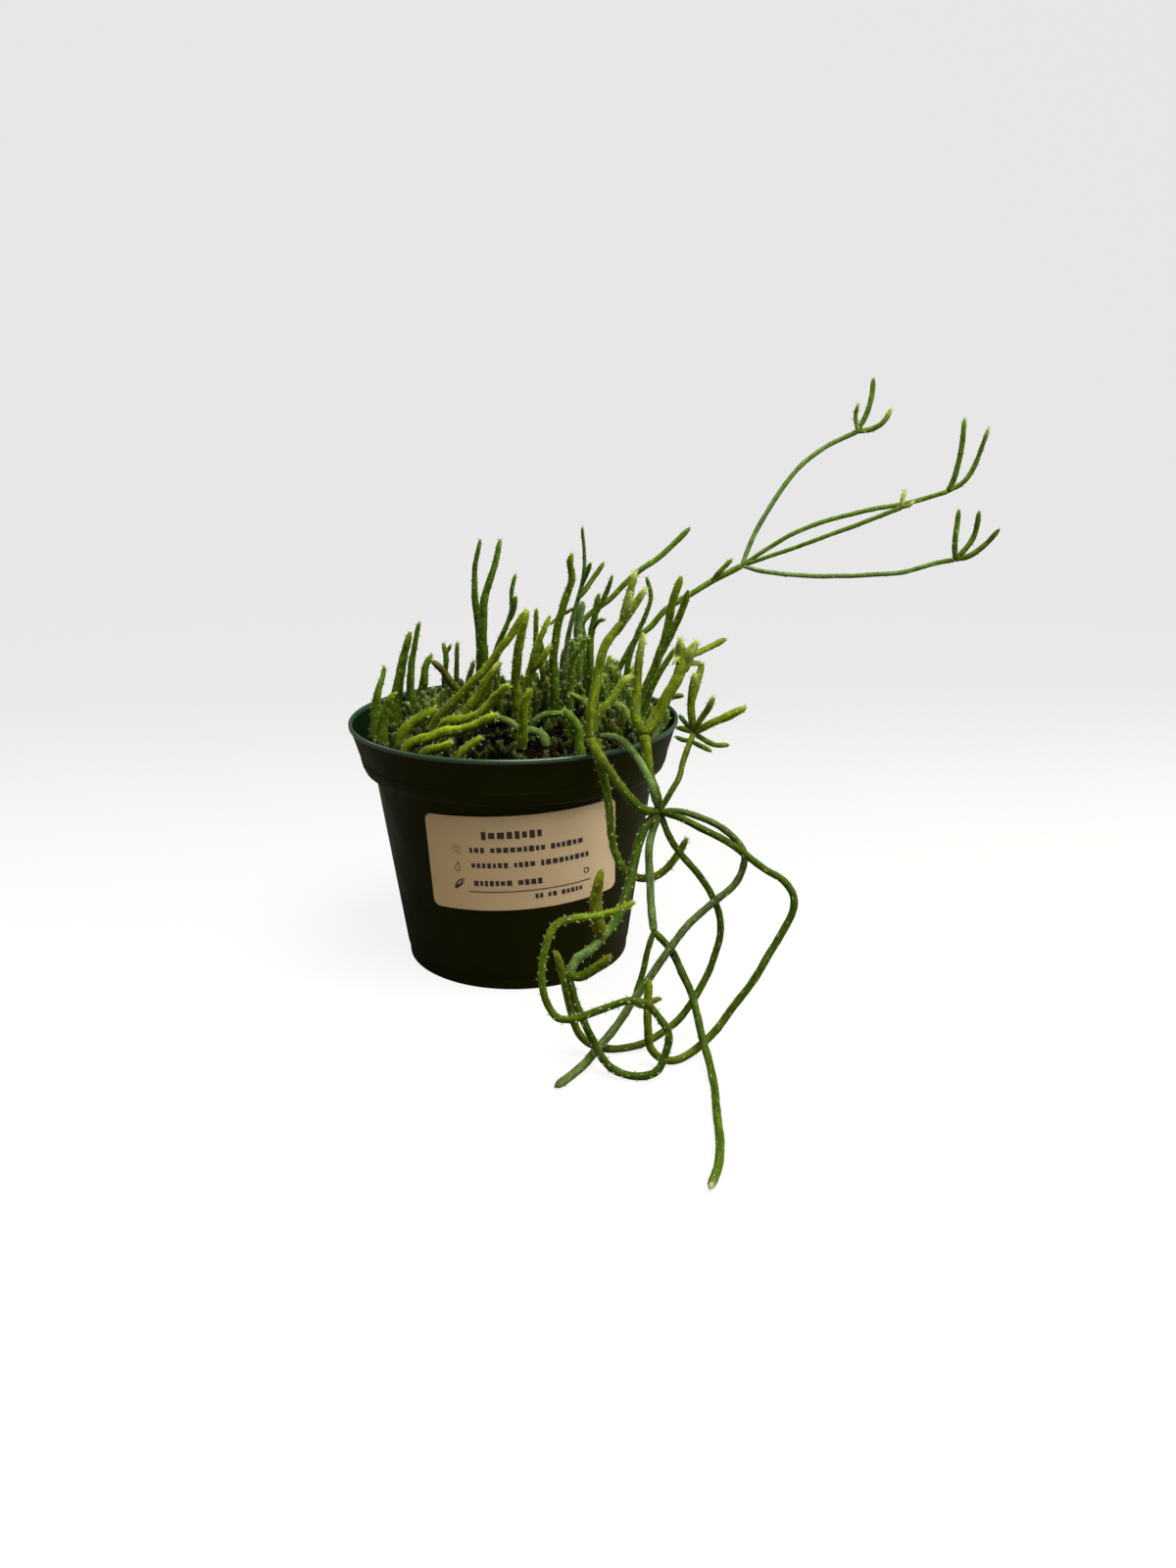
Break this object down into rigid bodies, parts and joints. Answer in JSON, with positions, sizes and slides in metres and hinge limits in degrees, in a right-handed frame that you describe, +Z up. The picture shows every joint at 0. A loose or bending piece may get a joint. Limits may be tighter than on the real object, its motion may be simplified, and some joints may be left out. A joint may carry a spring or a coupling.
{
  "type": "potted mistletoe cactus",
  "caption": "Mistletoe cactus with jointed pencil-thin stems in a round dark green nursery pot; a forked spray trails over the rim and a long branch arches to the right.",
  "frame": {"origin": "centre of the pot's flat base, on the surface that it stands on", "axes": "+Z up out of the pot; -Y towards the front, where the label is; the long branch leans towards +X"},
  "size_m": [0.3089, 0.294, 0.2717],
  "materials": {
    "pot": "satin",
    "soil": "matte",
    "label": "matte",
    "mature": "satin",
    "dark": "satin",
    "young": "satin"
  },
  "bodies": {
    "root": {"pot": "pot", "soil": "soil", "label": "label", "trailing_spray": "mature", "hanging_shoot": "young", "long_branch": "mature", "thin_branch": "mature", "left_stem_1": "dark", "left_stem_2": "young", "left_stem_3": "dark", "left_stem_4": "young", "left_stem_5": "dark", "back_stem_1": "dark", "back_stem_2": "dark", "back_stem_3": "dark", "back_stem_4": "dark", "back_stem_5": "dark", "back_stem_6": "dark", "arching_stem_1": "young", "arching_stem_2": "young", "arching_stem_3": "young", "arching_stem_4": "young", "arching_stem_5": "young", "arching_stem_6": "young", "arching_stem_7": "young", "arching_stem_8": "dark", "middle_stem_1": "young", "middle_stem_2": "dark", "middle_stem_3": "young", "middle_stem_4": "young", "middle_stem_5": "mature", "middle_stem_6": "dark", "middle_stem_7": "dark", "middle_stem_8": "mature", "middle_stem_9": "mature", "right_stem_1": "young", "right_stem_2": "mature", "right_stem_3": "mature", "right_stem_4": "dark", "right_stem_5": "dark", "right_stem_6": "young", "right_stem_7": "dark", "right_stem_8": "dark", "right_stem_9": "dark", "right_stem_10": "mature", "low_clump_1": "young", "low_clump_2": "dark", "low_clump_3": "dark", "low_clump_4": "young", "low_clump_5": "dark", "low_clump_6": "dark", "low_clump_7": "young", "low_clump_8": "dark", "low_clump_9": "dark", "low_clump_10": "young", "low_clump_11": "dark", "low_clump_12": "dark", "low_clump_13": "young"}
  },
  "joints": []
}
